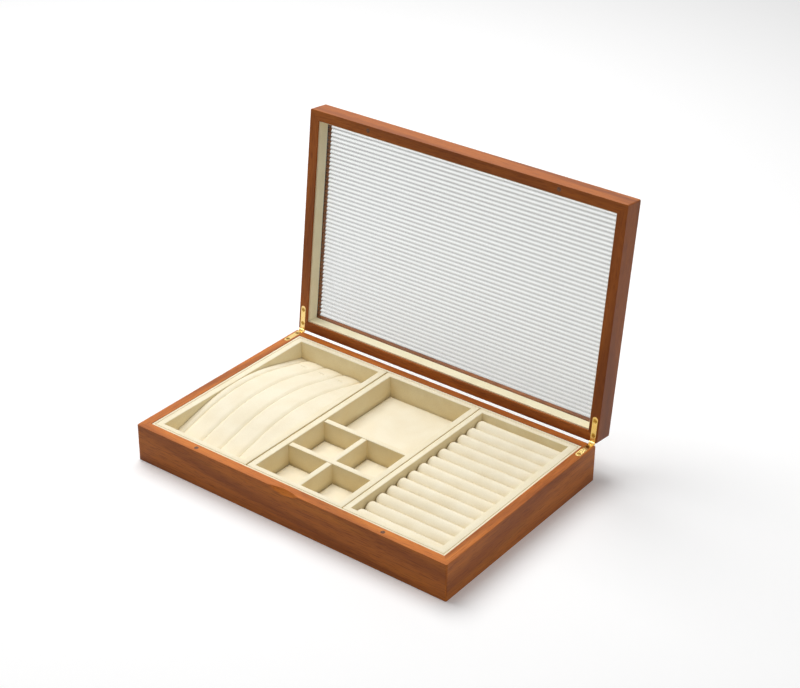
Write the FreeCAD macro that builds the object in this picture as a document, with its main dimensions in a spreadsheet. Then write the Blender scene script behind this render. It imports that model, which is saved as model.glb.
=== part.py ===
import FreeCAD, Part
import math
import os
from FreeCAD import Placement, Rotation, Vector

# A flat jewellery chest: a mitred wooden base and a glazed lid on two stop hinges, with three lift-out trays.
# Millimetres. Origin in the middle of the underside, +X to the right, +Y to the back, +Z up.
# The lid is worked out shut and then swung open about the hinge line.

doc = FreeCAD.newDocument("jewellery_chest")
sizes = doc.addObject("Spreadsheet::Sheet", "sizes")

driving = {
    # wooden case
    "case_width": 340,
    "case_depth": 223,
    "base_height": 36.5,
    "lid_height": 21,
    "rim_gap": 0.6,
    "wall_thick": 9,
    "corner_round": 1.5,
    "arris_round": 0.4,
    "base_bevel": 2,
    "lid_bevel": 0.8,
    "open_angle": 96,
    # bottom and linings of the base
    "bottom_thick": 6,
    "bottom_rabbet": 4.5,
    "floor_lining": 1.5,
    "lining_thick": 2.2,
    "lining_drop": 0.4,
    # finger scoop in the front arris
    "scoop_length": 32.5,
    "scoop_reach": 3,
    "scoop_drop": 4.5,
    # magnets in the front rims
    "magnet_width": 4,
    "magnet_depth": 3,
    "magnet_spread": 205,
    "magnet_clear": 0.05,
    # hinges
    "hinge_inset": 4.5,
    "pivot_out": 0.3,
    "leaf_width": 5.2,
    "leaf_length": 25,
    "leaf_thick": 1.2,
    "barrel_width": 3.4,
    "barrel_clear": 0.15,
    "middle_knuckle": 1.9,
    "knuckle_gap": 0.1,
    "pin_width": 1.6,
    "pin_clear": 0.05,
    # screws of the hinges
    "screw_head": 4,
    "head_depth": 1,
    "screw_shank": 2,
    "screw_length": 8,
    "screw_clear": 0.05,
    "driver_slot": 0.6,
    "slot_depth": 0.4,
    "near_screw": 7,
    "far_screw": 21,
    # glazed lid
    "rail_thick": 9.6,
    "lip_thick": 3.5,
    "lip_reach": 1.2,
    "glass_thick": 4,
    "glass_clear": 0.3,
    "reed_pitch": 4.05,
    "reed_height": 0.6,
    "bead_thick": 1.2,
    "bead_drop": 1.8,
    "bead_clear": 0.1,
    # trays
    "tray_side_gap": 0.4,
    "left_tray_gap": 1.5,
    "right_tray_gap": 0.9,
    "necklace_extra": 1.4,
    "ring_less": 1,
    "ring_room_shift": 0.8,
    "tray_wall": 6.2,
    "tray_end": 5,
    "tray_floor": 3,
    "divider_thick": 5.5,
    "divider_drop": 1.4,
    "middle_drop": 0.5,
    "pad_thick": 6,
    "pad_clear": 0.3,
    "pad_round": 1.5,
    # ring rolls
    "roll_count": 13,
    "roll_gap": 0.3,
    "roll_drop": 4,
    "roll_end_gap": 0.6,
    "roll_round": 1.5,
    # necklace ramp
    "ramp_edge": 7.9,
    "ramp_drop": 0.4,
    "ridge_cut": 6.6,
    "ramp_cover": 4,
    "ramp_clear": 0.2,
    "channel_first": 7,
    "channel_pitch": 22,
    "channel_depth": 1.3,
}
for row, (alias, number) in enumerate(driving.items(), start=1):
    sizes.set(f"A{row}", alias)
    sizes.set(f"B{row}", str(number))
    sizes.setAlias(f"B{row}", alias)
doc.recompute()

# Lines and levels that several pieces share
half_width = "(sizes.case_width / 2)"
half_depth = "(sizes.case_depth / 2)"
inside_x = f"({half_width} - sizes.wall_thick)"
inside_y = f"({half_depth} - sizes.wall_thick)"
well_x = f"({inside_x} - sizes.lining_thick)"
well_y = f"({inside_y} - sizes.lining_thick)"
rail_x = f"({half_width} - sizes.rail_thick)"
rail_y = f"({half_depth} - sizes.rail_thick)"
well_floor = "(sizes.bottom_thick + sizes.floor_lining)"
tray_rim = "(sizes.base_height - sizes.lining_drop)"
lid_rim = "(sizes.base_height + sizes.rim_gap)"
lid_top = f"({lid_rim} + sizes.lid_height)"
glass_top = f"({lid_top} - sizes.lip_thick)"
glass_under = f"({glass_top} - sizes.glass_thick)"
hinge_y = f"({half_depth} + sizes.pivot_out)"
hinge_z = "(sizes.base_height + sizes.rim_gap / 2)"
margin = "sizes.wall_thick"

nodes = []


def node(piece):
    nodes.append(piece)
    return piece


def move(piece, place):
    for axis, expression in zip("xyz", place):
        piece.setExpression("Placement.Base." + axis, expression)


def turn(piece, axis, angle):
    piece.Placement = Placement(Vector(), Rotation(axis, 0))
    piece.setExpression("Placement.Rotation.Angle", angle)


def swing(piece):
    # carries a piece that was worked out on the shut lid to the open lid
    piece.Placement = Placement(Vector(), Rotation(Vector(-1, 0, 0), sizes.open_angle))
    cosine = "cos(sizes.open_angle)"
    sine = "sin(sizes.open_angle)"
    piece.setExpression("Placement.Rotation.Angle", "sizes.open_angle")
    piece.setExpression("Placement.Base.y", f"{hinge_y} - {hinge_y} * {cosine} - {hinge_z} * {sine}")
    piece.setExpression("Placement.Base.z", f"{hinge_z} + {hinge_y} * {sine} - {hinge_z} * {cosine}")
    return piece


def block(label, corner, extent):
    box = doc.addObject("Part::Box", label)
    for side, expression in zip(("Length", "Width", "Height"), extent):
        box.setExpression(side, expression)
    move(box, corner)
    return box


def rod(label, width, length, start, axis="z"):
    cylinder = doc.addObject("Part::Cylinder", label)
    cylinder.setExpression("Radius", f"({width}) / 2")
    cylinder.setExpression("Height", length)
    if axis == "x":
        cylinder.Placement = Placement(Vector(), Rotation(Vector(0, 1, 0), 90))
    move(cylinder, start)
    return cylinder


def fuse(label, pieces):
    union = doc.addObject("Part::MultiFuse", label)
    union.Shapes = pieces
    union.Refine = True
    return union


def cut(label, body, tools):
    # one cutter after another, the last cut bearing the label
    for number, tool in enumerate(tools, start=1):
        rest = doc.addObject("Part::Cut", label if tool is tools[-1] else f"{label}_cut_{number}")
        rest.Base = body
        rest.Tool = tool
        body = rest
    return body


def common(label, body, limit):
    shared = doc.addObject("Part::Common", label)
    shared.Base = body
    shared.Tool = limit
    return shared


def group(label, pieces):
    compound = doc.addObject("Part::Compound", label)
    compound.Links = pieces
    return compound


def rounded(label, body, radius, picked):
    doc.recompute()
    fillet = doc.addObject("Part::Fillet", label)
    fillet.Base = body
    edges = enumerate(body.Shape.Edges, start=1)
    fillet.Edges = [(number, radius, radius) for number, edge in edges if picked(edge)]
    return fillet


def middle_direction(edge):
    return edge.tangentAt((edge.FirstParameter + edge.LastParameter) / 2)


def is_upright(edge):
    return abs(middle_direction(edge).z) > 0.9


def is_level(edge):
    return abs(middle_direction(edge).z) < 0.1


# Case blanks: a solid block with rounded corners and arrises, for the base and for the lid
def case_blank(label, low, height):
    corner = (f"-{half_width}", f"-{half_depth}", low)
    solid = block(label + "_block", corner, ("sizes.case_width", "sizes.case_depth", height))
    corners = rounded(label + "_corners", solid, sizes.corner_round, is_upright)
    return rounded(label + "_blank", corners, sizes.arris_round, is_level)


def bevel(label, size, angle, y, z):
    # a square bar laid along the back arris, turned so that its side is the bevel
    bar = doc.addObject("Part::Box", label)
    turn(bar, Vector(1, 0, 0), angle)
    bar.setExpression("Length", f"sizes.case_width + 2 * {margin}")
    bar.setExpression("Width", f"2 * {size}")
    bar.setExpression("Height", f"3 * sqrt(2) * {size}")
    move(bar, (f"-{half_width} - {margin}", y, z))
    return bar


def well(label, half_x, half_y, low, height):
    return block(label, (f"-{half_x}", f"-{half_y}", low), (f"2 * {half_x}", f"2 * {half_y}", height))


# Magnets and their pockets in the front rims
def magnet_pair(place_name, low):
    magnets = []
    pockets = []
    for side, sign in (("left", "-1"), ("right", "1")):
        start = (f"{sign} * sizes.magnet_spread / 2", f"-({half_depth} - sizes.wall_thick / 2)", low)
        name = f"{place_name}_{side}_magnet"
        magnets.append(rod(name, "sizes.magnet_width", "sizes.magnet_depth", start))
        pocket_width = "sizes.magnet_width + 2 * sizes.magnet_clear"
        pockets.append(rod(name + "_pocket", pocket_width, "sizes.magnet_depth", start))
    return magnets, pockets


base_magnets, base_magnet_pockets = magnet_pair("base", "sizes.base_height - sizes.magnet_depth")
lid_magnets, lid_magnet_pockets = magnet_pair("lid", lid_rim)
node(group("base_magnets", base_magnets))
node(swing(group("lid_magnets", lid_magnets)))


# Screws: a countersunk head and a shank, and the hole that takes them
def screw_body(name, clear, x, y, rim, way):
    head = doc.addObject("Part::Cone", name + "_head")
    wide = f"(sizes.screw_head / 2 + {clear})"
    narrow = f"(sizes.screw_shank / 2 + {clear})"
    head.setExpression("Radius1", wide if way == "up" else narrow)
    head.setExpression("Radius2", narrow if way == "up" else wide)
    head.setExpression("Height", "sizes.head_depth")
    shank_length = "(sizes.screw_length - sizes.head_depth)"
    head_low = rim if way == "up" else f"{rim} - sizes.head_depth"
    shank_low = f"{rim} + sizes.head_depth" if way == "up" else f"{rim} - sizes.screw_length"
    move(head, (x, y, head_low))
    shank = rod(name + "_shank", f"2 * {narrow}", shank_length, (x, y, shank_low))
    return fuse(name + "_body", [head, shank])


def screw_and_hole(name, x, y, rim, way):
    body = screw_body(name, "0", x, y, rim, way)
    hole = screw_body(name + "_hole", "sizes.screw_clear", x, y, rim, way)
    slot_low = rim if way == "up" else f"{rim} - sizes.slot_depth"
    corner = (f"{x} - sizes.screw_head", f"{y} - sizes.driver_slot / 2", slot_low)
    slot = block(name + "_slot", corner, ("2 * sizes.screw_head", "sizes.driver_slot", "sizes.slot_depth"))
    return cut(name, body, [slot]), hole


# Hinges: two leaves let into the side rims, with interlocking knuckles on one pin and a groove round the barrel
def notch(name, x, low, length):
    width = "sizes.barrel_width + 2 * sizes.barrel_clear"
    return rod(name, width, length, (f"{x} + {low}", hinge_y, hinge_z), "x")


def hinge_leaf(name, x, rim, way):
    low = rim if way == "up" else f"{rim} - sizes.leaf_thick"
    round_y = f"({half_depth} - sizes.leaf_length + sizes.leaf_width / 2)"
    corner = (f"{x} - sizes.leaf_width / 2", round_y, low)
    plate = block(name + "_plate", corner, ("sizes.leaf_width", f"{hinge_y} - {round_y}", "sizes.leaf_thick"))
    round_end = rod(name + "_round_end", "sizes.leaf_width", "sizes.leaf_thick", (x, round_y, low))
    barrel_start = (f"{x} - sizes.leaf_width / 2", hinge_y, hinge_z)
    barrel = rod(name + "_barrel", "sizes.barrel_width", "sizes.leaf_width", barrel_start, "x")
    bore = rod(name + "_bore", "sizes.pin_width + 2 * sizes.pin_clear", "sizes.leaf_width", barrel_start, "x")
    blank = fuse(name + "_blank", [plate, round_end, barrel])
    inner = "sizes.middle_knuckle / 2"
    outer = "(sizes.middle_knuckle / 2 + sizes.knuckle_gap)"
    if way == "up":
        side_length = f"sizes.leaf_width / 2 - {inner}"
        notches = [
            notch(name + "_left_notch", x, "(-sizes.leaf_width / 2)", side_length),
            notch(name + "_right_notch", x, inner, side_length),
        ]
    else:
        notches = [notch(name + "_middle_notch", x, f"(-{outer})", f"2 * {outer}")]
    screws = []
    holes = []
    for reach in ("near", "far"):
        screw_y = f"{half_depth} - sizes.{reach}_screw"
        screw, hole = screw_and_hole(f"{name}_{reach}_screw", x, screw_y, rim, way)
        screws.append(screw)
        holes.append(hole)
    leaf = cut(name, blank, [bore] + notches + holes)
    groove = notch(name + "_groove", x, "(-sizes.leaf_width / 2)", "sizes.leaf_width")
    return leaf, screws, [plate, round_end, groove] + holes


base_screws = []
lid_screws = []
base_mortises = []
lid_mortises = []
pins = []
for side, sign in (("left", "-1"), ("right", "1")):
    hinge_x = f"{sign} * ({half_width} - sizes.hinge_inset)"
    leaf, screws, mortise = hinge_leaf(f"{side}_hinge_base_leaf", hinge_x, "sizes.base_height", "down")
    node(leaf)
    base_screws += screws
    base_mortises += mortise
    leaf, screws, mortise = hinge_leaf(f"{side}_hinge_lid_leaf", hinge_x, lid_rim, "up")
    node(swing(leaf))
    lid_screws += screws
    lid_mortises += mortise
    pin_start = (f"{hinge_x} - sizes.leaf_width / 2", hinge_y, hinge_z)
    pins.append(rod(f"{side}_hinge_pin", "sizes.pin_width", "sizes.leaf_width", pin_start, "x"))
node(group("hinge_pins", pins))
node(group("hinge_base_screws", base_screws))
node(swing(group("hinge_lid_screws", lid_screws)))

# Finger scoop: a wide round cutter laid aslant over the front arris
scoop_slant = "sqrt(sizes.scoop_reach ^ 2 + sizes.scoop_drop ^ 2)"
scoop_bite = f"(sizes.scoop_reach * sizes.scoop_drop / {scoop_slant})"
scoop_radius = f"(((sizes.scoop_length / 2) ^ 2 + {scoop_bite} ^ 2) / (2 * {scoop_bite}))"
scoop = doc.addObject("Part::Cylinder", "finger_scoop")
turn(scoop, Vector(-1, 0, 0), "atan(sizes.scoop_reach / sizes.scoop_drop)")
scoop.setExpression("Radius", scoop_radius)
scoop.setExpression("Height", f"5 * {scoop_slant}")
scoop_y = f"-{half_depth} - 1.5 * sizes.scoop_reach - {scoop_radius} * sizes.scoop_drop / {scoop_slant}"
scoop_z = f"sizes.base_height - 2.5 * sizes.scoop_drop + {scoop_radius} * sizes.scoop_reach / {scoop_slant}"
move(scoop, ("0", scoop_y, scoop_z))

# Base and lid frames, each cut from its blank before it is parted at the mitres
base_blank = case_blank("base", "0", "sizes.base_height")
base_bevel = "sizes.base_bevel"
base_bevel_low = f"sizes.base_height - 2 * {base_bevel}"
rabbet_x = f"({inside_x} + sizes.bottom_rabbet)"
rabbet_y = f"({inside_y} + sizes.bottom_rabbet)"
base_tools = [
    well("base_well", inside_x, inside_y, f"-{margin}", f"sizes.base_height + 2 * {margin}"),
    well("base_rabbet", rabbet_x, rabbet_y, f"-{margin}", f"sizes.bottom_thick + {margin}"),
    bevel("base_back_bevel", base_bevel, "45", f"{half_depth} + {base_bevel}", base_bevel_low),
    scoop,
]
base_frame = cut("base_frame", base_blank, base_tools + base_magnet_pockets + base_mortises)

lid_blank = case_blank("lid", lid_rim, "sizes.lid_height")
lid_bevel = "sizes.lid_bevel"
sight_x = f"({rail_x} - sizes.lip_reach)"
sight_y = f"({rail_y} - sizes.lip_reach)"
lid_well_low = f"{lid_rim} - {margin}"
lid_tools = [
    well("lid_well", rail_x, rail_y, lid_well_low, f"{glass_top} - {lid_rim} + {margin}"),
    well("lid_sight", sight_x, sight_y, lid_well_low, f"sizes.lid_height + 2 * {margin}"),
    bevel("lid_back_bevel", lid_bevel, "-45", f"{half_depth} - 2 * {lid_bevel}", f"{lid_rim} - {lid_bevel}"),
]
lid_frame = cut("lid_frame", lid_blank, lid_tools + lid_magnet_pockets + lid_mortises)


# Mitres: a wedge keeps one side of a frame, with 45 degree ends from corner to corner
def mitre(label, out, along, low, high, angle):
    depth = "(sizes.rail_thick + sizes.lip_reach)"
    wedge = doc.addObject("Part::Wedge", label)
    turn(wedge, Vector(0, 0, 1), angle)
    limits = {
        "Ymin": f"-{out} - {margin}",
        "Xmin": f"-{along} - {margin}",
        "Xmax": f"{along} + {margin}",
        "Ymax": f"-{out} + {depth}",
        "X2min": f"-{along} + {depth}",
        "X2max": f"{along} - {depth}",
        "Zmin": low,
        "Z2min": low,
        "Zmax": high,
        "Z2max": high,
    }
    for limit, expression in limits.items():
        wedge.setExpression(limit, expression)
    return wedge


frame_sides = (
    ("front", half_depth, half_width, "0"),
    ("right", half_width, half_depth, "90"),
    ("back", half_depth, half_width, "180"),
    ("left", half_width, half_depth, "270"),
)
for side, out, along, angle in frame_sides:
    base_limit = mitre(f"base_{side}_mitre", out, along, f"-{margin}", f"sizes.base_height + {margin}", angle)
    node(common(f"base_{side}_wall", base_frame, base_limit))
    lid_limit = mitre(f"lid_{side}_mitre", out, along, f"{lid_rim} - {margin}", f"{lid_top} + {margin}", angle)
    node(swing(common(f"lid_{side}_rail", lid_frame, lid_limit)))

# Bottom panel and linings of the base
node(well("base_bottom_panel", rabbet_x, rabbet_y, "0", "sizes.bottom_thick"))
node(well("base_floor_lining", inside_x, inside_y, "sizes.bottom_thick", "sizes.floor_lining"))


def lining_pairs(prefix, half_x, half_y, thick, low, height):
    side_boards = []
    end_boards = []
    side_extent = (thick, f"2 * {half_y}", height)
    end_extent = (f"2 * ({half_x} - {thick})", thick, height)
    for side, x in (("left", f"-{half_x}"), ("right", f"{half_x} - {thick}")):
        side_boards.append(block(f"{prefix}_{side}_lining", (x, f"-{half_y}", low), side_extent))
    for side, y in (("front", f"-{half_y}"), ("back", f"{half_y} - {thick}")):
        corner = (f"-({half_x} - {thick})", y, low)
        end_boards.append(block(f"{prefix}_{side}_lining", corner, end_extent))
    return group(f"{prefix}_side_linings", side_boards), group(f"{prefix}_end_linings", end_boards)


lining_height = f"{tray_rim} - {well_floor}"
for linings in lining_pairs("base", inside_x, inside_y, "sizes.lining_thick", well_floor, lining_height):
    node(linings)
bead_low = f"({lid_rim} + sizes.bead_drop)"
bead_height = f"{glass_under} - sizes.bead_clear - {bead_low}"
for linings in lining_pairs("lid", rail_x, rail_y, "sizes.bead_thick", bead_low, bead_height):
    node(swing(linings))


# Reeded glass: round reeds on the inner face, flat outside, trimmed to the rebate in the lid
def reeded_sheet():
    count = math.ceil(sizes.case_depth / sizes.reed_pitch)
    first = -count * sizes.reed_pitch / 2
    left = -sizes.case_width / 2
    outline = []
    for number in range(count):
        start = first + number * sizes.reed_pitch
        valley = Vector(left, start, sizes.reed_height)
        crest = Vector(left, start + sizes.reed_pitch / 2, 0)
        next_valley = Vector(left, start + sizes.reed_pitch, sizes.reed_height)
        outline.append(Part.Arc(valley, crest, next_valley).toShape())
    back_top = Vector(left, -first, sizes.glass_thick)
    front_top = Vector(left, first, sizes.glass_thick)
    outline.append(Part.makeLine(Vector(left, -first, sizes.reed_height), back_top))
    outline.append(Part.makeLine(back_top, front_top))
    outline.append(Part.makeLine(front_top, Vector(left, first, sizes.reed_height)))
    return Part.Face(Part.Wire(outline)).extrude(Vector(sizes.case_width, 0, 0))


glass_sheet = doc.addObject("Part::Feature", "reeded_sheet")
glass_sheet.Shape = reeded_sheet()
move(glass_sheet, ("0", "0", glass_under))
pane_x = f"({rail_x} - sizes.glass_clear)"
pane_y = f"({rail_y} - sizes.glass_clear)"
pane = well("glass_limit", pane_x, pane_y, glass_under, "sizes.glass_thick")
node(swing(common("lid_glass", glass_sheet, pane)))

# Trays: three open boxes side by side, the left one a little wider and the right one a little narrower
all_gaps = "(2 * sizes.tray_side_gap + sizes.left_tray_gap + sizes.right_tray_gap)"
tray_share = f"((2 * {well_x} - {all_gaps}) / 3)"
necklace_width = f"({tray_share} + sizes.necklace_extra)"
ring_width = f"({tray_share} - sizes.ring_less)"
compartment_width = f"({tray_share} - sizes.necklace_extra + sizes.ring_less)"
row_end = f"({well_x} - sizes.tray_side_gap)"
necklace_x = f"({necklace_width} / 2 - {row_end})"
compartment_x = f"({necklace_width} + sizes.left_tray_gap + {compartment_width} / 2 - {row_end})"
ring_x = f"({row_end} - {ring_width} / 2)"
necklace_room = f"({necklace_width} / 2 - sizes.tray_wall)"
compartment_room = f"({compartment_width} / 2 - sizes.tray_wall)"
ring_room = f"({ring_width} / 2 - sizes.tray_wall)"
tray_half_depth = f"({well_y} - sizes.tray_side_gap)"
tray_height = f"({tray_rim} - {well_floor})"
room_y = f"({tray_half_depth} - sizes.tray_end)"
room_floor = f"({well_floor} + sizes.tray_floor)"
room_height = f"({tray_rim} - {room_floor})"


def tray(name, x, room_x, shift="0"):
    # the shift moves the room to the left, with a thinner wall there and a thicker one at the right
    end_extent = (f"2 * {room_x}", "sizes.tray_end", tray_height)
    inner = f"{x} - {shift} - {room_x}"
    left_thick = f"(sizes.tray_wall - {shift})"
    left_corner = (f"{inner} - {left_thick}", f"-{tray_half_depth}", well_floor)
    node(block(f"{name}_tray_left_wall", left_corner, (left_thick, f"2 * {tray_half_depth}", tray_height)))
    right_thick = f"(sizes.tray_wall + {shift})"
    right_corner = (f"{inner} + 2 * {room_x}", f"-{tray_half_depth}", well_floor)
    node(block(f"{name}_tray_right_wall", right_corner, (right_thick, f"2 * {tray_half_depth}", tray_height)))
    node(block(f"{name}_tray_front_wall", (inner, f"-{tray_half_depth}", well_floor), end_extent))
    node(block(f"{name}_tray_back_wall", (inner, room_y, well_floor), end_extent))
    floor_extent = (f"2 * {room_x}", f"2 * {room_y}", "sizes.tray_floor")
    node(block(f"{name}_tray_floor", (inner, f"-{room_y}", well_floor), floor_extent))


tray("necklace", necklace_x, necklace_room)
tray("compartment", compartment_x, compartment_room)
tray("ring", ring_x, ring_room, "sizes.ring_room_shift")

# Dividers: one across the middle, and a halved cross in the front half, all a little below the tray's rim
half_divider = "(sizes.divider_thick / 2)"
divider_height = f"({room_height} - sizes.divider_drop)"
cross_y = f"(-{room_y} / 2 - {half_divider} / 2)"
room_left = f"({compartment_x} - {compartment_room})"
room_right = f"({compartment_x} + {compartment_room})"
across = (f"2 * {compartment_room}", "sizes.divider_thick", divider_height)
node(block("main_divider", (room_left, f"-{half_divider}", room_floor), across))
cross_board = block("cross_divider_board", (room_left, f"{cross_y} - {half_divider}", room_floor), across)
middle_left = f"({compartment_x} - {half_divider})"
middle_right = f"({compartment_x} + {half_divider})"
middle_height = f"{divider_height} - sizes.middle_drop"
middle_extent = ("sizes.divider_thick", f"{room_y} - {half_divider}", middle_height)
middle_board = block("middle_divider_board", (middle_left, f"-{room_y}", room_floor), middle_extent)
lap_extent = ("sizes.divider_thick", "sizes.divider_thick", f"{divider_height} / 2")
lap_corner = (middle_left, f"{cross_y} - {half_divider}")
lower_lap = block("cross_divider_lap", lap_corner + (room_floor,), lap_extent)
upper_lap = block("middle_divider_lap", lap_corner + (f"{room_floor} + {divider_height} / 2",), lap_extent)
node(cut("cross_divider", cross_board, [lower_lap]))
node(cut("middle_divider", middle_board, [upper_lap]))


# Floor pads: soft boards with rounded upper edges, one in each compartment
def floor_pad(label, low_x, high_x, low_y, high_y):
    clear = "sizes.pad_clear"
    corner = (f"{low_x} + {clear}", f"{low_y} + {clear}", room_floor)
    extent = (f"{high_x} - {low_x} - 2 * {clear}", f"{high_y} - {low_y} - 2 * {clear}", "sizes.pad_thick")
    board = block(label + "_board", corner, extent)

    def is_upper(edge):
        return edge.CenterOfMass.z > board.Shape.BoundBox.ZMax - sizes.pad_round / 2

    return rounded(label, board, sizes.pad_round, is_upper)


node(floor_pad("large_pad", room_left, room_right, half_divider, room_y))
small_pads = []
for side, low_x, high_x in (("left", room_left, middle_left), ("right", middle_right, room_right)):
    rows = (
        ("front", f"(-{room_y})", f"({cross_y} - {half_divider})"),
        ("rear", f"({cross_y} + {half_divider})", f"(-{half_divider})"),
    )
    for row_name, low_y, high_y in rows:
        small_pads.append(floor_pad(f"{row_name}_{side}_pad", low_x, high_x, low_y, high_y))
node(group("small_pads", small_pads))

# Ring rolls: round-topped foam strips standing side by side on the tray floor
roll_pitch = f"(2 * {room_y} / sizes.roll_count)"
roll_width = f"({roll_pitch} - sizes.roll_gap)"
roll_axis_z = f"({tray_rim} - sizes.roll_drop - {roll_width} / 2)"
roll_length = f"(2 * {ring_room} - 2 * sizes.roll_end_gap)"
roll_x = f"{ring_x} - sizes.ring_room_shift - {roll_length} / 2"


def is_soft_end(edge):
    is_arc = edge.Curve.TypeId != "Part::GeomLine"
    return is_arc or is_upright(edge)


for number in range(1, int(sizes.roll_count) + 1):
    name = f"ring_roll_{number:02d}"
    roll_y = f"(-{room_y} + {roll_pitch} * ({number} - 0.5))"
    strip_extent = (roll_length, roll_width, f"{roll_axis_z} - {room_floor}")
    strip = block(name + "_strip", (roll_x, f"{roll_y} - {roll_width} / 2", room_floor), strip_extent)
    top = rod(name + "_top", roll_width, roll_length, (roll_x, roll_y, roll_axis_z), "x")
    node(rounded(name, fuse(name + "_body", [strip, top]), sizes.roll_round, is_soft_end))

# Necklace ramp: a gable block with its ridge rounded off, and a channelled cover over it
ramp_peak = f"({tray_rim} - sizes.ramp_drop)"
block_x = f"({necklace_room} - sizes.ramp_clear)"
block_y = f"({room_y} - sizes.ramp_clear)"
gable_rise = f"({ramp_peak} + sizes.ridge_cut - {room_floor} - sizes.ramp_edge)"
slope_cosine = f"cos(atan({gable_rise} / {block_y}))"
eaves_height = f"(sizes.ramp_edge - sizes.ramp_cover / {slope_cosine})"
plinth_corner = (f"{necklace_x} - {block_x}", f"-{block_y}", room_floor)
plinth_extent = (f"2 * {block_x}", f"2 * {block_y}", eaves_height)
plinth = block("ramp_plinth", plinth_corner, plinth_extent)
gable = doc.addObject("Part::Wedge", "ramp_gable")
gable.Placement = Placement(Vector(), Rotation(Vector(1, 1, 1), 120))
gable_limits = {
    "Xmin": f"-{block_y}",
    "Xmax": block_y,
    "X2min": "0",
    "X2max": "0",
    "Ymin": "0",
    "Ymax": gable_rise,
    "Zmin": f"-{block_x}",
    "Zmax": block_x,
    "Z2min": f"-{block_x}",
    "Z2max": block_x,
}
for limit, expression in gable_limits.items():
    gable.setExpression(limit, expression)
move(gable, (necklace_x, "0", f"{room_floor} + {eaves_height}"))
ramp_blank = fuse("ramp_blank", [plinth, gable])
doc.recompute()
slope = math.atan2(gable.Ymax.Value, gable.Xmax.Value)
arch_radius = sizes.ridge_cut / (1 / math.cos(slope) - 1)


def is_ridge(edge):
    return edge.CenterOfMass.z > ramp_blank.Shape.BoundBox.ZMax - sizes.ramp_cover / 2


node(rounded("ramp_block", ramp_blank, arch_radius - sizes.ramp_cover, is_ridge))


def channelled_sheet():
    # the cover's cross-section, taken over the arch and straight down both slopes
    count = math.ceil(sizes.case_width / 3 / sizes.channel_pitch)
    first = sizes.channel_first - sizes.channel_pitch
    last = first + count * sizes.channel_pitch
    outline = []
    for number in range(count):
        start = first + number * sizes.channel_pitch
        seam = Vector(start, 0, -sizes.channel_depth)
        crown = Vector(start + sizes.channel_pitch / 2, 0, 0)
        next_seam = Vector(start + sizes.channel_pitch, 0, -sizes.channel_depth)
        outline.append(Part.Arc(seam, crown, next_seam).toShape())
    right_under = Vector(last, 0, -sizes.ramp_cover)
    left_under = Vector(first, 0, -sizes.ramp_cover)
    outline.append(Part.makeLine(Vector(last, 0, -sizes.channel_depth), right_under))
    outline.append(Part.makeLine(right_under, left_under))
    outline.append(Part.makeLine(left_under, Vector(first, 0, -sizes.channel_depth)))
    section = Part.Face(Part.Wire(outline))
    arch_axis = Vector(0, 0, -arch_radius)
    turned = math.degrees(slope)
    sheets = []
    for way in (-1, 1):
        end = section.copy()
        end.rotate(arch_axis, Vector(1, 0, 0), way * turned)
        down = Vector(0, -way * math.cos(slope), -math.sin(slope)) * (sizes.case_depth / 2)
        sheets.append(end.extrude(down))
        sheets.append(end.revolve(arch_axis, Vector(1, 0, 0), -way * turned))
    return sheets[0].fuse(sheets[1:]).removeSplitter()


cover_sheet = doc.addObject("Part::Feature", "channelled_sheet")
cover_sheet.Shape = channelled_sheet()
move(cover_sheet, (f"{necklace_x} - {necklace_room}", "0", ramp_peak))
cover_limit = block("ramp_limit", plinth_corner, plinth_extent[:2] + (f"2 * {room_height}",))
node(common("ramp_pad", cover_sheet, cover_limit))

# Every feature worked, and every node is a sound solid
doc.recompute()
for feature in doc.Objects:
    if "Invalid" in feature.State or "Error" in feature.State:
        raise RuntimeError(f"{feature.Label} failed to build: {feature.getStatusString()}")
os.makedirs("parts", exist_ok=True)
for piece in nodes:
    shape = piece.Shape
    if shape.isNull() or not shape.isValid() or not shape.Solids:
        raise RuntimeError(f"{piece.Label} is not a sound solid")
    shape.exportStep(f"parts/{piece.Label}.step")
print(len(nodes), "nodes")
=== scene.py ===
import math

import bmesh
import bpy
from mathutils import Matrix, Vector


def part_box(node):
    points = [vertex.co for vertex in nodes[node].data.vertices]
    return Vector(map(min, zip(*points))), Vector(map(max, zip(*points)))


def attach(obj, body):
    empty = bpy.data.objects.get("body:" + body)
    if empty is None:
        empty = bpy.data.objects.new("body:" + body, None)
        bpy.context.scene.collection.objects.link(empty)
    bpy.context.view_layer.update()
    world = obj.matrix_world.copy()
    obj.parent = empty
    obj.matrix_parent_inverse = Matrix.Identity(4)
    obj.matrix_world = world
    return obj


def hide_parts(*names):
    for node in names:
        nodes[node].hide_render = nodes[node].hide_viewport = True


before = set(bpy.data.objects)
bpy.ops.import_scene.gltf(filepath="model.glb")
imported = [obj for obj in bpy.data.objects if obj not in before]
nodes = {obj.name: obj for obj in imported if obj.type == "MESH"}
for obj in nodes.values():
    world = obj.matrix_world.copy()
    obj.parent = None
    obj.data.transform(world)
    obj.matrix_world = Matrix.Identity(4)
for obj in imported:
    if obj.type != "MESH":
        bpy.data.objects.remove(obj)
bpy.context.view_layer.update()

# Looks of the jewellery chest: satin wood, reeded glass, brass hinges and cream velvet trays, in metres.

scene = bpy.context.scene

MM = 0.001
SIDES = ("front", "back", "left", "right")

# Turns that lay a pattern's length along a board. The open lid leans back past upright.
LID_LEAN = math.radians(6)
ALONG_X = (0, 0, 0)
ALONG_Y = (0, 0, math.pi / 2)
UP_THE_LID = (LID_LEAN, math.pi / 2, 0)

# A wave texture at scale 1 has one band in this length
WAVE_PERIOD = 2 * math.pi / 20


# Turns an sRGB hex colour into the linear colour that shaders read
def linear(code):
    channels = [int(code[i:i + 2], 16) / 255 for i in (1, 3, 5)]
    return tuple(c / 12.92 if c <= 0.04045 else ((c + 0.055) / 1.055) ** 2.4 for c in channels) + (1.0,)


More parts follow.
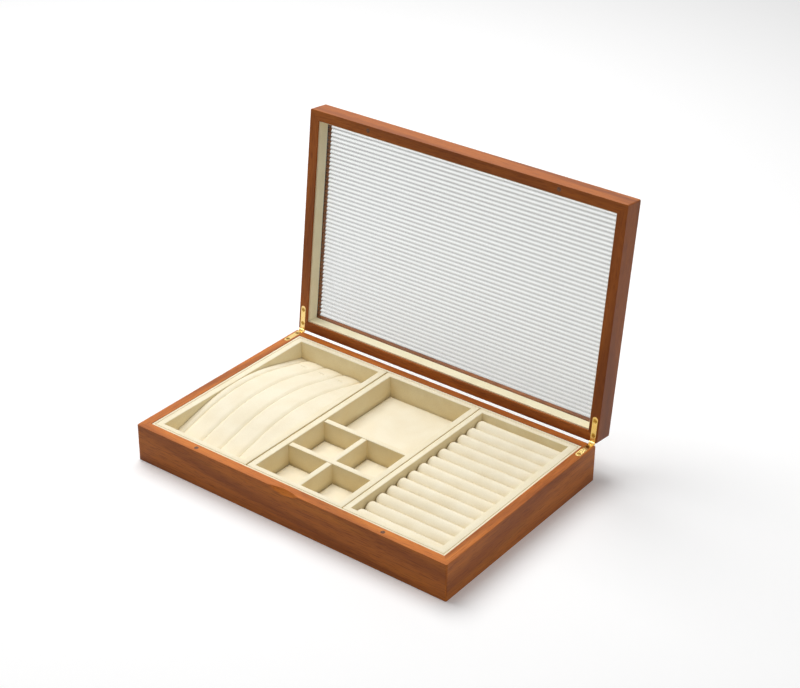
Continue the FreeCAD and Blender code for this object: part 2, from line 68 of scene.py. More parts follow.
# Sets or links a node's live inputs
def feed(tree, node, inputs):
    for name, value in inputs.items():
        sockets = [s for s in node.inputs if s.enabled and s.name == name]
        socket = sockets[0] if sockets else node.inputs[name]
        if isinstance(value, bpy.types.NodeSocket):
            tree.links.new(value, socket)
        else:
            socket.default_value = value


# Adds a node of any kind and gives back one of its outputs: the named one, or else the first live one
def add(tree, kind, inputs=None, out=None, stops=None, **settings):
    node = tree.nodes.new(kind)
    for name, value in settings.items():
        setattr(node, name, value)
    if stops:
        elements = node.color_ramp.elements
        while len(elements) < len(stops):
            elements.new(0.5)
        for element, (place, code) in zip(elements, stops):
            element.position = place
            element.color = linear(code)
    feed(tree, node, inputs or {})
    if out:
        return node.outputs[out]
    live = [s for s in node.outputs if s.enabled]
    return live[0] if live else node


# One for rays that reach the eye straight, by a mirror or through glass, and nought for soft light
def rays_to_the_eye(tree):
    seen = add(tree, "ShaderNodeLightPath", out="Is Camera Ray")
    mirrored = add(tree, "ShaderNodeLightPath", out="Is Glossy Ray")
    through = add(tree, "ShaderNodeLightPath", out="Is Transmission Ray")
    in_polish = add(tree, "ShaderNodeMath", {0: seen, 1: mirrored}, operation="MAXIMUM")
    return add(tree, "ShaderNodeMath", {0: in_polish, 1: through}, operation="MAXIMUM")


def new_material(name):
    material = bpy.data.materials.new(name)
    material.use_nodes = True
    tree = material.node_tree
    return material, tree, tree.nodes["Principled BSDF"]


# Beech stained red-brown under satin varnish: long soft figure, short dark pores and a dull shine.
# The pores are drawn several times their real width, so that they show.
FIGURE_LENGTH = 150 * MM
FIGURE_WIDTH = 9 * MM
RING_SPACING = 17 * MM
RING_STRETCH = 9
RING_FLATTEN = 0.8
PORE_LENGTH = 11 * MM
PORE_WIDTH = 0.7 * MM
BASE_STAIN = ("#ae6023", "#c36f28", "#d18033")
# Paler stain for the front wall: a painted highlight for the sheen its rim catches
PAINTED_SHEEN_STAIN = ("#b46324", "#c97229", "#d78334")
# Darker stain for the lid, whose face is in shade: painted shade on the same wood
LID_PAINTED_SHADE_STAIN = ("#9a521a", "#ac5f20", "#ba6c2a")
# Darker still for the lid's right rail: painted shade
DEEPEST_PAINTED_SHADE_STAIN = ("#904b16", "#a1561b", "#ae6224")
BOARDS = {
    "base_front_wall": (ALONG_X, PAINTED_SHEEN_STAIN),
    "base_back_wall": (ALONG_X, BASE_STAIN),
    "base_left_wall": (ALONG_Y, BASE_STAIN),
    "base_right_wall": (ALONG_Y, BASE_STAIN),
    "base_bottom_panel": (ALONG_X, BASE_STAIN),
    "lid_front_rail": (ALONG_X, LID_PAINTED_SHADE_STAIN),
    "lid_back_rail": (ALONG_X, LID_PAINTED_SHADE_STAIN),
    "lid_left_rail": (UP_THE_LID, LID_PAINTED_SHADE_STAIN),
    "lid_right_rail": (UP_THE_LID, DEEPEST_PAINTED_SHADE_STAIN),
}

# Each board is cut from the next place in the same wood
NEXT_BOARD = Vector((1.37, 0.5069, 0.8357))


def stained_beech(name, grain_turn, cut_from, stain):
    material, tree, shader = new_material(name)
    place = add(tree, "ShaderNodeTexCoord", out="Object")
    along = add(tree, "ShaderNodeMapping", {
        "Vector": place,
        "Rotation": grain_turn,
        "Location": cut_from,
    })
    figure_space = add(tree, "ShaderNodeMapping", {
        "Vector": along,
        "Scale": (1 / FIGURE_LENGTH, 1 / FIGURE_WIDTH, 1 / FIGURE_WIDTH),
    })
    figure = add(tree, "ShaderNodeTexNoise", {
        "Vector": figure_space, "Scale": 1.0, "Detail": 5.0, "Roughness": 0.62, "Distortion": 0.5,
    })
    ring_space = add(tree, "ShaderNodeMapping", {
        "Vector": along,
        "Scale": (1 / RING_STRETCH, 1.0, RING_FLATTEN),
    })
    rings = add(tree, "ShaderNodeTexWave", {
        "Vector": ring_space,
        "Scale": WAVE_PERIOD / RING_SPACING,
        "Distortion": 5.0,
        "Detail": 3.0,
        "Detail Scale": 1.2,
    }, bands_direction="DIAGONAL")
    pore_space = add(tree, "ShaderNodeMapping", {
        "Vector": along,
        "Scale": (1 / PORE_LENGTH, 1 / PORE_WIDTH, 1 / PORE_WIDTH),
    })
    pores = add(tree, "ShaderNodeTexNoise", {"Vector": pore_space, "Scale": 1.0, "Detail": 2.0})
    dark, middle, light = stain
    stained = add(tree, "ShaderNodeValToRGB", {"Fac": figure}, stops=[
        (0.30, dark), (0.52, middle), (0.74, light),
    ])
    ring_tint = add(tree, "ShaderNodeValToRGB", {"Fac": rings}, stops=[
        (0.0, "#bfb0a4"), (0.5, "#ffffff"),
    ])
    pore_tint = add(tree, "ShaderNodeValToRGB", {"Fac": pores}, stops=[
        (0.34, "#b09788"), (0.48, "#ffffff"),
    ])
    ringed = add(tree, "ShaderNodeMix", {"Factor": 0.6, "A": stained, "B": ring_tint},
                 data_type="RGBA", blend_type="MULTIPLY")
    colour = add(tree, "ShaderNodeMix", {"Factor": 0.5, "A": ringed, "B": pore_tint},
                 data_type="RGBA", blend_type="MULTIPLY")
    roughness = add(tree, "ShaderNodeMapRange", {"Value": figure, "To Min": 0.40, "To Max": 0.50})
    bump = add(tree, "ShaderNodeBump", {"Height": pores, "Strength": 0.15, "Distance": 0.1 * MM})
    feed(tree, shader, {
        "Base Color": colour,
        "Roughness": roughness,
        "Normal": bump,
        "Specular IOR Level": 0.22,
    })
    return material


# Cream velvet, woven pile on a flocked backing: matt, with brushed patches and a pale sheen at its edges.
# The pile is drawn coarser than its real 0.1 mm, so that it shows.
PILE_SIZE = 0.55 * MM
BRUSHED_PATCH = 20 * MM


def cream_velvet(name, lit, brushed):
    material, tree, shader = new_material(name)
    place = add(tree, "ShaderNodeTexCoord", out="Object")
    patches = add(tree, "ShaderNodeTexNoise", {"Vector": place, "Scale": 1 / BRUSHED_PATCH, "Detail": 3.0})
    pile = add(tree, "ShaderNodeTexNoise", {
        "Vector": place, "Scale": 1 / PILE_SIZE, "Detail": 2.0, "Roughness": 0.7,
    })
    nap = add(tree, "ShaderNodeValToRGB", {"Fac": patches}, stops=[(0.35, brushed), (0.65, lit)])
    speckle = add(tree, "ShaderNodeValToRGB", {"Fac": pile}, stops=[(0.3, "#d9d4c8"), (0.6, "#ffffff")])
    colour = add(tree, "ShaderNodeMix", {"Factor": 0.25, "A": nap, "B": speckle},
                 data_type="RGBA", blend_type="MULTIPLY")
    bump = add(tree, "ShaderNodeBump", {"Height": pile, "Strength": 0.3, "Distance": 0.2 * MM})
    feed(tree, shader, {
        "Base Color": colour,
        "Normal": bump,
        "Roughness": 0.95,
        "Specular IOR Level": 0.1,
        "Sheen Weight": 0.08,
        "Sheen Roughness": 0.4,
    })
    return material


# Brass, cut and polished: a warm gold mirror with faint drawn lines, duller on the screws
BRASS_LINE = 0.4 * MM
BRASS_RUN = 6 * MM


def polished_brass(name, dull, bright):
    material, tree, shader = new_material(name)
    place = add(tree, "ShaderNodeTexCoord", out="Object")
    drawn = add(tree, "ShaderNodeMapping", {
        "Vector": place, "Scale": (1 / BRASS_LINE, 1 / BRASS_RUN, 1 / BRASS_RUN),
    })
    lines = add(tree, "ShaderNodeTexNoise", {"Vector": drawn, "Scale": 1.0, "Detail": 2.0})
    colour = add(tree, "ShaderNodeValToRGB", {"Fac": lines}, stops=[(0.3, dull), (0.7, bright)])
    roughness = add(tree, "ShaderNodeMapRange", {"Value": lines, "To Min": 0.16, "To Max": 0.30})
    feed(tree, shader, {"Base Color": colour, "Roughness": roughness, "Metallic": 1.0})
    return material


# Magnets, nickel plated and tumbled: small grey-brown mirrors with a scuffed face
SCUFF_SIZE = 0.7 * MM


def nickel_plate(name):
    material, tree, shader = new_material(name)
    place = add(tree, "ShaderNodeTexCoord", out="Object")
    scuffs = add(tree, "ShaderNodeTexNoise", {"Vector": place, "Scale": 1 / SCUFF_SIZE, "Detail": 3.0})
    colour = add(tree, "ShaderNodeValToRGB", {"Fac": scuffs}, stops=[(0.3, "#4a3226"), (0.7, "#7a5a49")])
    roughness = add(tree, "ShaderNodeMapRange", {"Value": scuffs, "To Min": 0.2, "To Max": 0.45})
    feed(tree, shader, {"Base Color": colour, "Roughness": roughness, "Metallic": 1.0})
    return material


# Cast reeded glass: clear, each reed a lens, tinted grey and darkest where two reeds meet: painted shade
# for what the reeds bend into view. It lets the lamps' light through with little loss. The valley is where
# two reeds meet, measured up the lid from the origin.
SHADOW_LEFT = 0.2
REED_PITCH = 4.05 * MM
REED_VALLEY = 160.09 * MM


def reeded_glass(name):
    material, tree, shader = new_material(name)
    place = add(tree, "ShaderNodeTexCoord", out="Object")
    up_the_lid = add(tree, "ShaderNodeMapping", {"Vector": place, "Rotation": UP_THE_LID})
    reeds = add(tree, "ShaderNodeTexWave", {
        "Vector": up_the_lid,
        "Scale": WAVE_PERIOD / REED_PITCH,
        "Phase Offset": -2 * math.pi * REED_VALLEY / REED_PITCH,
    }, bands_direction="X")
    # Grey tint, darkest at each valley: painted shade for the refraction lines
    colour = add(tree, "ShaderNodeValToRGB", {"Fac": reeds}, stops=[
        (0.0, "#adaead"), (0.35, "#cdcdcb"), (0.7, "#e7e9e8"),
    ])
    roughness = add(tree, "ShaderNodeMapRange", {"Value": reeds, "To Min": 0.05, "To Max": 0.01})
    in_shadow = add(tree, "ShaderNodeLightPath", out="Is Shadow Ray")
    cover = add(tree, "ShaderNodeMapRange", {"Value": in_shadow, "To Min": 1.0, "To Max": SHADOW_LEFT})
    feed(tree, shader, {
        "Base Color": colour,
        "Roughness": roughness,
        "Alpha": cover,
        "Transmission Weight": 1.0,
        "IOR": 1.5,
    })
    return material


rim_velvet = cream_velvet("cream_velvet_rims", "#fbf1d6", "#f7ebcc")
# The same cream velvet, darker and yellower: painted shade for upright faces
shaded_wall_velvet = cream_velvet("cream_velvet_painted_shade_walls", "#f3e4bc", "#eedcb0")
pad_velvet = cream_velvet("cream_velvet_pads", "#fbf2da", "#f7ecd1")
lining_velvet = cream_velvet("cream_velvet_linings", "#fef4d3", "#fbefcb")
hinge_brass = polished_brass("polished_brass", "#e5c06c", "#f6dc9c")
screw_brass = polished_brass("polished_brass_screws", "#a37a34", "#c29a4e")
magnet_nickel = nickel_plate("nickel_plate")
shaded_pane_glass = reeded_glass("reeded_glass")


def dress(node, material):
    slots = nodes[node].data.materials
    slots.clear()
    slots.append(material)


for number, (node, (grain_turn, stain)) in enumerate(BOARDS.items()):
    dress(node, stained_beech(f"stained_beech_{node}", grain_turn, NEXT_BOARD * number, stain))
for node in nodes:
    if "lining" in node:
        dress(node, lining_velvet)
    if "hinge" in node:
        dress(node, screw_brass if "screws" in node else hinge_brass)
    if "magnets" in node:
        dress(node, magnet_nickel)
dress("lid_glass", shaded_pane_glass)
dress("ramp_block", pad_velvet)


# Makes a mesh from a finished bmesh, shaded smooth except at edges sharper than so many degrees
def new_mesh(name, bm, material, sharp=40):
    bmesh.ops.recalc_face_normals(bm, faces=bm.faces)
    mesh = bpy.data.meshes.new(name)
    bm.to_mesh(mesh)
    bm.free()
    mesh.materials.append(material)
    mesh.shade_smooth()
    mesh.set_sharp_from_angle(angle=math.radians(sharp))
    return mesh


# Puts a mesh into the scene as a piece that moves with its body and stands for its solids
def place_piece(name, mesh, body, stands_for):
    piece = bpy.data.objects.new(name, mesh)
    scene.collection.objects.link(piece)
    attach(piece, body)
    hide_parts(*stands_for)


# Joins two closed loops of vertices with a band of faces, in the first cloth unless another is given
def bridge(bm, first, second, cloth=0):
    count = len(first)
    for i in range(count):
        face = bm.faces.new((first[i], first[(i + 1) % count], second[(i + 1) % count], second[i]))
        face.material_index = cloth


# Four corners of an upright box at one height
def corners(bm, low, high, z):
    spots = ((low.x, low.y), (high.x, low.y), (high.x, high.y), (low.x, high.y))
    return [bm.verts.new((x, y, z)) for x, y in spots]


def loop_edges(bm, loop):
    return [bm.edges.get(pair) for pair in zip(loop, loop[1:] + loop[:1])]


# Stations from low to high, closer together at both ends
def spread(low, high, count):
    half = (high - low) / 2
    return [low + half * (1 - math.cos(math.pi * i / count)) for i in range(count + 1)]


# How far a rolled edge has fallen at this distance inside it
def rolled_edge(inset, radius):
    near = max(0.0, 1 - inset / radius)
    return radius * (1 - math.sqrt(1 - near ** 2))


# Rounds the edges that velvet is wrapped over
def wrap(bm, edges, radius):
    bmesh.ops.bevel(bm, geom=edges, offset=radius, segments=3, profile=0.5, affect="EDGES")


# Tray boxes: boards wrapped in velvet, so one shell with soft rims. The upright walls have a second,
# darker and yellower copy of the cloth: painted shade for the shade that falls on them.
RIM_ROUND = 0.6 * MM
# The cloth slot that carries the painted shade
SHADED_WALL_CLOTH = 1


def tray_shell(prefix):
    left_low, left_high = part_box(f"{prefix}_tray_left_wall")
    right_low, right_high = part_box(f"{prefix}_tray_right_wall")
    room_low = Vector((left_high.x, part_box(f"{prefix}_tray_front_wall")[1].y, 0))
    room_high = Vector((right_low.x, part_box(f"{prefix}_tray_back_wall")[0].y, 0))
    bm = bmesh.new()
    under = corners(bm, left_low, right_high, left_low.z)
    outer = corners(bm, left_low, right_high, left_high.z)
    inner = corners(bm, room_low, room_high, left_high.z)
    floor = corners(bm, room_low, room_high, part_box(f"{prefix}_tray_floor")[1].z)
    bm.faces.new(under)
    bridge(bm, under, outer, SHADED_WALL_CLOTH)
    bridge(bm, outer, inner)
    bridge(bm, inner, floor, SHADED_WALL_CLOTH)
    bm.faces.new(floor)
    wrapped = loop_edges(bm, outer) + loop_edges(bm, inner)
    wrapped += [bm.edges.get(pair) for pair in zip(under, outer)]
    wrap(bm, wrapped, RIM_ROUND)
    name = f"{prefix}_tray_shell"
    stands_for = [f"{prefix}_tray_{side}_wall" for side in SIDES] + [f"{prefix}_tray_floor"]
    mesh = new_mesh(name, bm, rim_velvet)
    mesh.materials.append(shaded_wall_velvet)
    place_piece(name, mesh, f"{prefix}_tray", stands_for)


for prefix in ("necklace", "compartment", "ring"):
    tray_shell(prefix)

# Dividers and linings: boards wrapped in velvet, with soft upper edges; their sides take the darker cloth
# as painted shade
BOARD_ROUND = 0.5 * MM


def wrapped_boards(node, body, spans):
    bm = bmesh.new()
    for low, high in spans:
        under = corners(bm, low, high, low.z)
        top = corners(bm, low, high, high.z)
        bm.faces.new(under)
        bm.faces.new(top)
        bridge(bm, under, top, SHADED_WALL_CLOTH)
        wrap(bm, loop_edges(bm, top), BOARD_ROUND)
    name = f"{node}_cover"
    mesh = new_mesh(name, bm, rim_velvet)
    mesh.materials.append(shaded_wall_velvet)
    place_piece(name, mesh, body, [node])


cross_low, cross_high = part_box("cross_divider")
middle_low, middle_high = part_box("middle_divider")
wrapped_boards("main_divider", "compartment_tray", [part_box("main_divider")])
wrapped_boards("cross_divider", "compartment_tray", [(cross_low, cross_high)])
wrapped_boards("middle_divider", "compartment_tray", [
    (middle_low, Vector((middle_high.x, cross_low.y, middle_high.z))),
    (Vector((middle_low.x, cross_high.y, middle_low.z)), middle_high),
])
side_low, side_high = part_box("base_side_linings")
end_low, end_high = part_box("base_end_linings")
lining_thick = end_low.x - side_low.x
wrapped_boards("base_side_linings", "base", [
    (side_low, Vector((end_low.x, side_high.y, side_high.z))),
    (Vector((end_high.x, side_low.y, side_low.z)), side_high),
])
wrapped_boards("base_end_linings", "base", [
    (end_low, Vector((end_high.x, end_low.y + lining_thick, end_high.z))),
    (Vector((end_low.x, end_high.y - lining_thick, end_low.z)), end_high),
])

# Padding: cloth swollen by air pressure, held where it is sewn or glued. The solver is made for
# household cloth, so the small pads are swollen at twenty times their size.
SOLVER_SCALE = 20
SOLVER_FRAMES = 20
AIR_PRESSURE = 4.0


def swell(mesh, held, cap):
    start = [vertex.co.copy() for vertex in mesh.vertices]
    work = mesh.copy()
    for vertex in work.vertices:
        vertex.co *= SOLVER_SCALE
    cover = bpy.data.objects.new("swelling_cover", work)
    scene.collection.objects.link(cover)
    cover.vertex_groups.new(name="held").add(held, 1.0, "REPLACE")
    cloth = cover.modifiers.new("cloth", "CLOTH")
    cloth.settings.vertex_group_mass = "held"
    cloth.settings.use_pressure = True
    cloth.settings.uniform_pressure_force = AIR_PRESSURE
    cloth.settings.effector_weights.gravity = 0.0
    cloth.collision_settings.use_collision = False
    for number in range(1, SOLVER_FRAMES + 1):
        scene.frame_set(number)
    swollen = cover.evaluated_get(bpy.context.evaluated_depsgraph_get()).data
    for vertex, before, after in zip(mesh.vertices, start, swollen.vertices):
        shift = after.co / SOLVER_SCALE - before
        if shift.length > cap:
            shift *= cap / shift.length
        vertex.co = before + shift
    scene.frame_set(1)
    bpy.data.objects.remove(cover)
    bpy.data.meshes.remove(work)


# A closed pad: a grid of top points, sides and a flat underside. Gives back the held vertices too.
def pad_skin(bm, rows, under_z, is_held):
    tops = [[bm.verts.new(point) for point in row] for row in rows]
    for row, following in zip(tops, tops[1:]):
        for i in range(len(row) - 1):
            bm.faces.new((row[i], row[i + 1], following[i + 1], following[i]))
    rim = tops[0] + [row[-1] for row in tops[1:]]
    rim += list(reversed(tops[-1]))[1:] + [row[0] for row in reversed(tops[1:-1])]
    feet = [bm.verts.new((v.co.x, v.co.y, under_z(v.co.y))) for v in rim]
    bridge(bm, rim, feet)
    bm.faces.new(list(reversed(feet)))
    bm.verts.index_update()
    return [v.index for v in rim + feet] + [v.index for row in tops for v in row if is_held(v.co)]


# Floor pads: card wrapped in velvet over wadding, rolled over at the edges
PAD_EDGE = 2.0 * MM
PAD_SWELL = 0.6 * MM
PAD_STEPS = 36


def floor_pad(bm, low, high):
    rows = []
    for y in spread(low.y, high.y, PAD_STEPS):
        row = []
        for x in spread(low.x, high.x, PAD_STEPS):
            inset = min(x - low.x, high.x - x, y - low.y, high.y - y)
            row.append((x, y, high.z - PAD_SWELL - rolled_edge(inset, PAD_EDGE)))
        rows.append(row)
    return pad_skin(bm, rows, lambda y: low.z, lambda point: False)


def floor_pads(name, node, spans):
    bm = bmesh.new()
    held = []
    for low, high in spans:
        held += floor_pad(bm, low, high)
    mesh = new_mesh(name, bm, pad_velvet)
    swell(mesh, held, PAD_SWELL)
    place_piece(name, mesh, "compartment_tray", [node])


small_low, small_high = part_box("small_pads")
clear = small_low.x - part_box("compartment_tray_left_wall")[1].x
small_spans = []
for low_x, high_x in ((small_low.x, middle_low.x - clear), (middle_high.x + clear, small_high.x)):
    for low_y, high_y in ((small_low.y, cross_low.y - clear), (cross_high.y + clear, small_high.y)):
        small_spans.append((Vector((low_x, low_y, small_low.z)), Vector((high_x, high_y, small_high.z))))
floor_pads("large_floor_pad", "large_pad", [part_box("large_pad")])
floor_pads("small_floor_pads", "small_pads", small_spans)

# Ring rolls: foam strips with a round top, rolled in velvet and tucked in at the ends.
# One roll is made and swollen, and Geometry Nodes lay it out in rows.
ROLL_TUCK = 3.4 * MM
ROLL_SWELL = 0.35 * MM
ROLL_UNEVEN = 0.12 * MM
ROLL_WAVE = 60 * MM
ROLL_STATIONS = 72
ROLL_ARC = 22
ROLL_SMALLEST = (0.99, 0.985, 0.985)
ROLL_LARGEST = (1.0, 1.0, 1.0)
ROLL_SEED = 7
roll_names = sorted(node for node in nodes if node.startswith("ring_roll_"))


def one_roll(length, radius, height):
    axis_z = height - radius
    bm = bmesh.new()
    loops = []
    for x in spread(-length / 2, length / 2, ROLL_STATIONS):
        size = radius - ROLL_SWELL - rolled_edge(length / 2 - abs(x), ROLL_TUCK)
        uneven = ROLL_UNEVEN * math.sin(2 * math.pi * x / ROLL_WAVE)
        loop = [bm.verts.new((x, -size, 0))]
        for step in range(ROLL_ARC + 1):
            angle = math.pi * (1 - step / ROLL_ARC)
            reach = size + uneven * math.sin(angle)
            loop.append(bm.verts.new((x, reach * math.cos(angle), axis_z + reach * math.sin(angle))))
        loop.append(bm.verts.new((x, size, 0)))
        loops.append(loop)
    for first, second in zip(loops, loops[1:]):
        bridge(bm, first, second)
    bm.faces.new(loops[0])
    bm.faces.new(list(reversed(loops[-1])))
    bm.verts.index_update()
    glued = [loop[i].index for loop in loops for i in (0, -1)]
    tucked = [vertex.index for loop in (loops[0], loops[-1]) for vertex in loop]
    mesh = new_mesh("ring_roll", bm, pad_velvet, sharp=60)
    swell(mesh, glued + tucked, ROLL_SWELL)
    return mesh


# Rows of rolls, every second one turned end for end
def roll_rows_tree():
    tree = bpy.data.node_groups.new("rows_of_rolls", "GeometryNodeTree")
    tree.interface.new_socket("Roll", in_out="INPUT", socket_type="NodeSocketGeometry")
    tree.interface.new_socket("Count", in_out="INPUT", socket_type="NodeSocketInt")
    tree.interface.new_socket("Pitch", in_out="INPUT", socket_type="NodeSocketFloat")
    tree.interface.new_socket("First Place", in_out="INPUT", socket_type="NodeSocketVector")
    tree.interface.new_socket("Rows", in_out="OUTPUT", socket_type="NodeSocketGeometry")
    given = add(tree, "NodeGroupInput", out="Roll").node.outputs
    step = add(tree, "ShaderNodeCombineXYZ", {"Y": given["Pitch"]})
    line = add(tree, "GeometryNodeMeshLine", {
        "Count": given["Count"], "Start Location": given["First Place"], "Offset": step,
    })
    number = add(tree, "GeometryNodeInputIndex")
    odd = add(tree, "ShaderNodeMath", {0: number, 1: 2.0}, operation="MODULO")
    half_turn = add(tree, "ShaderNodeMath", {0: odd, 1: math.pi}, operation="MULTIPLY")
    angles = add(tree, "ShaderNodeCombineXYZ", {"Z": half_turn})
    turn = add(tree, "FunctionNodeEulerToRotation", {"Euler": angles})
    size = add(tree, "FunctionNodeRandomValue", {
        "Min": ROLL_SMALLEST, "Max": ROLL_LARGEST, "Seed": ROLL_SEED,
    }, data_type="FLOAT_VECTOR")
    rolls = add(tree, "GeometryNodeInstanceOnPoints", {
        "Points": line, "Instance": given["Roll"], "Rotation": turn, "Scale": size,
    })
    real = add(tree, "GeometryNodeRealizeInstances", {"Geometry": rolls})
    dressed = add(tree, "GeometryNodeSetMaterial", {"Geometry": real, "Material": pad_velvet})
    add(tree, "NodeGroupOutput", {"Rows": dressed})
    return tree


def ring_rolls():
    low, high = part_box(roll_names[0])
    second_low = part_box(roll_names[1])[0]
    mesh = one_roll(high.x - low.x, (high.y - low.y) / 2, high.z - low.z)
    rows = bpy.data.objects.new("ring_roll_rows", mesh)
    scene.collection.objects.link(rows)
    modifier = rows.modifiers.new("rows", "NODES")
    modifier.node_group = roll_rows_tree()
    wanted = {
        "Count": len(roll_names),
        "Pitch": second_low.y - low.y,
        "First Place": ((low.x + high.x) / 2, (low.y + high.y) / 2, low.z),
    }
    for item in modifier.node_group.interface.items_tree:
        if item.name in wanted:
            modifier[item.identifier] = wanted[item.name]
    whole = bpy.data.meshes.new_from_object(rows.evaluated_get(bpy.context.evaluated_depsgraph_get()))
    rows.modifiers.clear()
    bpy.data.objects.remove(rows)
    whole.name = "ring_rolls"
    place_piece("ring_rolls", whole, "ring_tray", roll_names)


ring_rolls()

# Necklace ramp: an arched velvet pad, sewn down in channels, with a slit near the back of each inner panel
RAMP_EDGE = 51.5 * MM
RAMP_SLOPE = math.radians(14.16)
RAMP_RADIUS = RAMP_EDGE / math.sin(RAMP_SLOPE)
COVER_THICK = 3.7 * MM
CHANNEL_FIRST = 7 * MM
CHANNEL_PITCH = 22 * MM
CHANNEL_COUNT = 4
PANEL_SWELL = 0.5 * MM
SEAM_DEPTH = 1.4 * MM
SEAM_WIDTH = 0.45 * MM
SCALLOP_DEPTH = 1.0 * MM
SCALLOP_REACH = 8 * MM
SLIT_Y = 76 * MM
SLIT_REACH = 4.5 * MM
SLIT_DEPTH = 1.0 * MM
SLIT_WIDTH = 0.5 * MM
LIP_HEIGHT = 0.7 * MM
LIP_BEHIND = 1.6 * MM
LIP_WIDTH = 0.9 * MM
SEWN_REACH = 0.3 * MM
STEPS_ACROSS = 60
STEPS_ALONG = 90
CREASE_CLEAR = 1.5 * MM
CREASE_STEPS = (-1.2 * MM, -0.8 * MM, -0.5 * MM, -0.25 * MM, 0, 0.25 * MM, 0.5 * MM, 0.8 * MM, 1.2 * MM)

tray_wall_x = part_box("necklace_tray_left_wall")[1].x
seams = [tray_wall_x + CHANNEL_FIRST + CHANNEL_PITCH * i for i in range(CHANNEL_COUNT)]
slits = [(first + second) / 2 for first, second in zip(seams, seams[1:])]
peak_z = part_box("ramp_pad")[1].z


# How far the arch has fallen at this distance from the middle
def arch_drop(y):
    reach = abs(y)
    if reach <= RAMP_EDGE:
        return RAMP_RADIUS - math.sqrt(RAMP_RADIUS ** 2 - reach ** 2)
    return RAMP_RADIUS * (1 - math.cos(RAMP_SLOPE)) + (reach - RAMP_EDGE) * math.tan(RAMP_SLOPE)


def cover_under(y):
    return peak_z - arch_drop(y) - COVER_THICK


def seam_distance(x):
    return min(abs(x - seam) for seam in seams)


# A smooth bump that is 1 at its middle
def bell(distance, width):
    return math.exp(-(distance / width) ** 2)


# Even stations from low to high, with close ones at each crease in place of those beside it
def creased(low, high, count, creases):
    even = [low + (high - low) * i / count for i in range(count + 1)]
    kept = [place for place in even if all(abs(place - crease) > CREASE_CLEAR for crease in creases)]
    return sorted(kept + [crease + step for crease in creases for step in CREASE_STEPS])


# Cuts the slits into the cover's top, each with a raised lip behind it
def cut_slits(mesh):
    for vertex in mesh.vertices:
        place = vertex.co
        if place.z <= cover_under(place.y) + SLIT_DEPTH:
            continue
        cut = SLIT_DEPTH * bell(place.y - SLIT_Y, SLIT_WIDTH)
        lip = LIP_HEIGHT * bell(place.y - SLIT_Y - LIP_BEHIND, LIP_WIDTH)
        ends = sum(max(0.0, 1 - (abs(place.x - slit) / SLIT_REACH) ** 4) for slit in slits)
        place.z += ends * (lip - cut)


def ramp_cover():
    low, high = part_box("ramp_block")
    across = creased(low.x, high.x, STEPS_ACROSS, seams)
    along = creased(low.y, high.y, STEPS_ALONG, [SLIT_Y])
    rows = []
    for y in along:
        row = []
        for x in across:
            groove = SEAM_DEPTH * bell(seam_distance(x), SEAM_WIDTH)
            near_back = max(0.0, 1 - (high.y - y) / SCALLOP_REACH)
            near_seam = max(0.0, 1 - 2 * seam_distance(x) / CHANNEL_PITCH)
            scallop = SCALLOP_DEPTH * near_back * near_seam ** 2
            row.append((x, y, peak_z - PANEL_SWELL - arch_drop(y) - groove - scallop))
        rows.append(row)
    bm = bmesh.new()
    held = pad_skin(bm, rows, cover_under, lambda point: seam_distance(point.x) < SEWN_REACH)
    mesh = new_mesh("ramp_cover", bm, pad_velvet, sharp=70)
    swell(mesh, held, PANEL_SWELL)
    cut_slits(mesh)
    place_piece("ramp_cover", mesh, "necklace_tray", ["ramp_pad"])


ramp_cover()


# White paper floor: it glows a little to the eye and through glass, so that it shows white and keeps
# a pale shadow, and throws a duller light back
FIBRE_SIZE = 40 * MM
PAPER_GLOW = 0.10


def white_paper(name):
    material, tree, shader = new_material(name)
    place = add(tree, "ShaderNodeTexCoord", out="Object")
    fibres = add(tree, "ShaderNodeTexNoise", {"Vector": place, "Scale": 1 / FIBRE_SIZE, "Detail": 2.0})
    paper = add(tree, "ShaderNodeValToRGB", {"Fac": fibres}, stops=[(0.3, "#b9b9b9"), (0.7, "#bdbdbd")])
    shown = rays_to_the_eye(tree)
    colour = add(tree, "ShaderNodeMix", {"Factor": shown, "A": paper, "B": linear("#f9f9f9")},
                 data_type="RGBA")
    glow = add(tree, "ShaderNodeMath", {0: shown, 1: PAPER_GLOW}, operation="MULTIPLY")
    feed(tree, shader, {
        "Base Color": colour,
        "Emission Color": linear("#ffffff"),
        "Emission Strength": glow,
        "Roughness": 1.0,
        "Specular IOR Level": 0.0,
    })
    return material


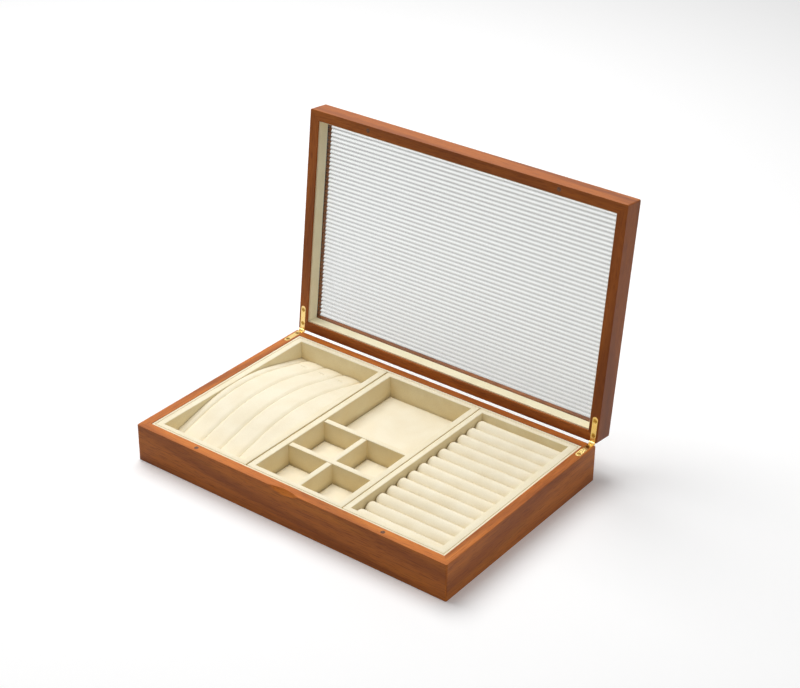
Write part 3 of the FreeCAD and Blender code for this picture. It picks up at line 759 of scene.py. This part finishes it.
FLOOR_SIZE = 8.0


def studio_floor():
    bm = bmesh.new()
    bmesh.ops.create_grid(bm, x_segments=1, y_segments=1, size=FLOOR_SIZE)
    floor = bpy.data.objects.new("floor", new_mesh("floor", bm, white_paper("white_paper")))
    scene.collection.objects.link(floor)


# Studio light: a large soft lamp above and to the left, a weak one at the right, and a room that shows
# white in metal, glass and varnish. Each lamp has its place, its width in metres and its power in watts.
ROOM_LIGHT = 0.22
SOFTBOXES = {
    "softbox_above": (Vector((-0.70, 0.30, 1.80)), 1.6, 36.0),
    "softbox_right": (Vector((1.60, -0.20, 0.90)), 1.5, 4.0),
}


def studio_light():
    world = bpy.data.worlds.new("white_room")
    world.use_nodes = True
    tree = world.node_tree
    shown = rays_to_the_eye(tree)
    strength = add(tree, "ShaderNodeMapRange", {"Value": shown, "To Min": ROOM_LIGHT, "To Max": 1.0})
    feed(tree, tree.nodes["Background"], {"Color": linear("#ffffff"), "Strength": strength})
    scene.world = world
    for name, (place, size, power) in SOFTBOXES.items():
        softbox = bpy.data.lights.new(name, "AREA")
        softbox.shape = "DISK"
        softbox.size = size
        softbox.energy = power
        lamp = bpy.data.objects.new(name, softbox)
        lamp.location = place
        lamp.rotation_euler = (-place).to_track_quat("-Z", "Y").to_euler()
        scene.collection.objects.link(lamp)


# The photograph's view: a camera in metres and degrees
IMAGE_WIDTH = 800
FOCAL_PIXELS = 1802.8
SENSOR_WIDTH = 36.0
CAMERA_PLACE = (0.8311, -1.0582, 0.8887)
CAMERA_TURN = (60.538, -0.550, 37.176)


def photo_camera():
    lens = bpy.data.cameras.new("camera")
    lens.sensor_width = SENSOR_WIDTH
    lens.lens = FOCAL_PIXELS * SENSOR_WIDTH / IMAGE_WIDTH
    camera = bpy.data.objects.new("camera", lens)
    camera.location = CAMERA_PLACE
    camera.rotation_euler = [math.radians(angle) for angle in CAMERA_TURN]
    scene.collection.objects.link(camera)
    scene.camera = camera


studio_floor()
studio_light()
photo_camera()
scene.view_settings.view_transform = "Standard"
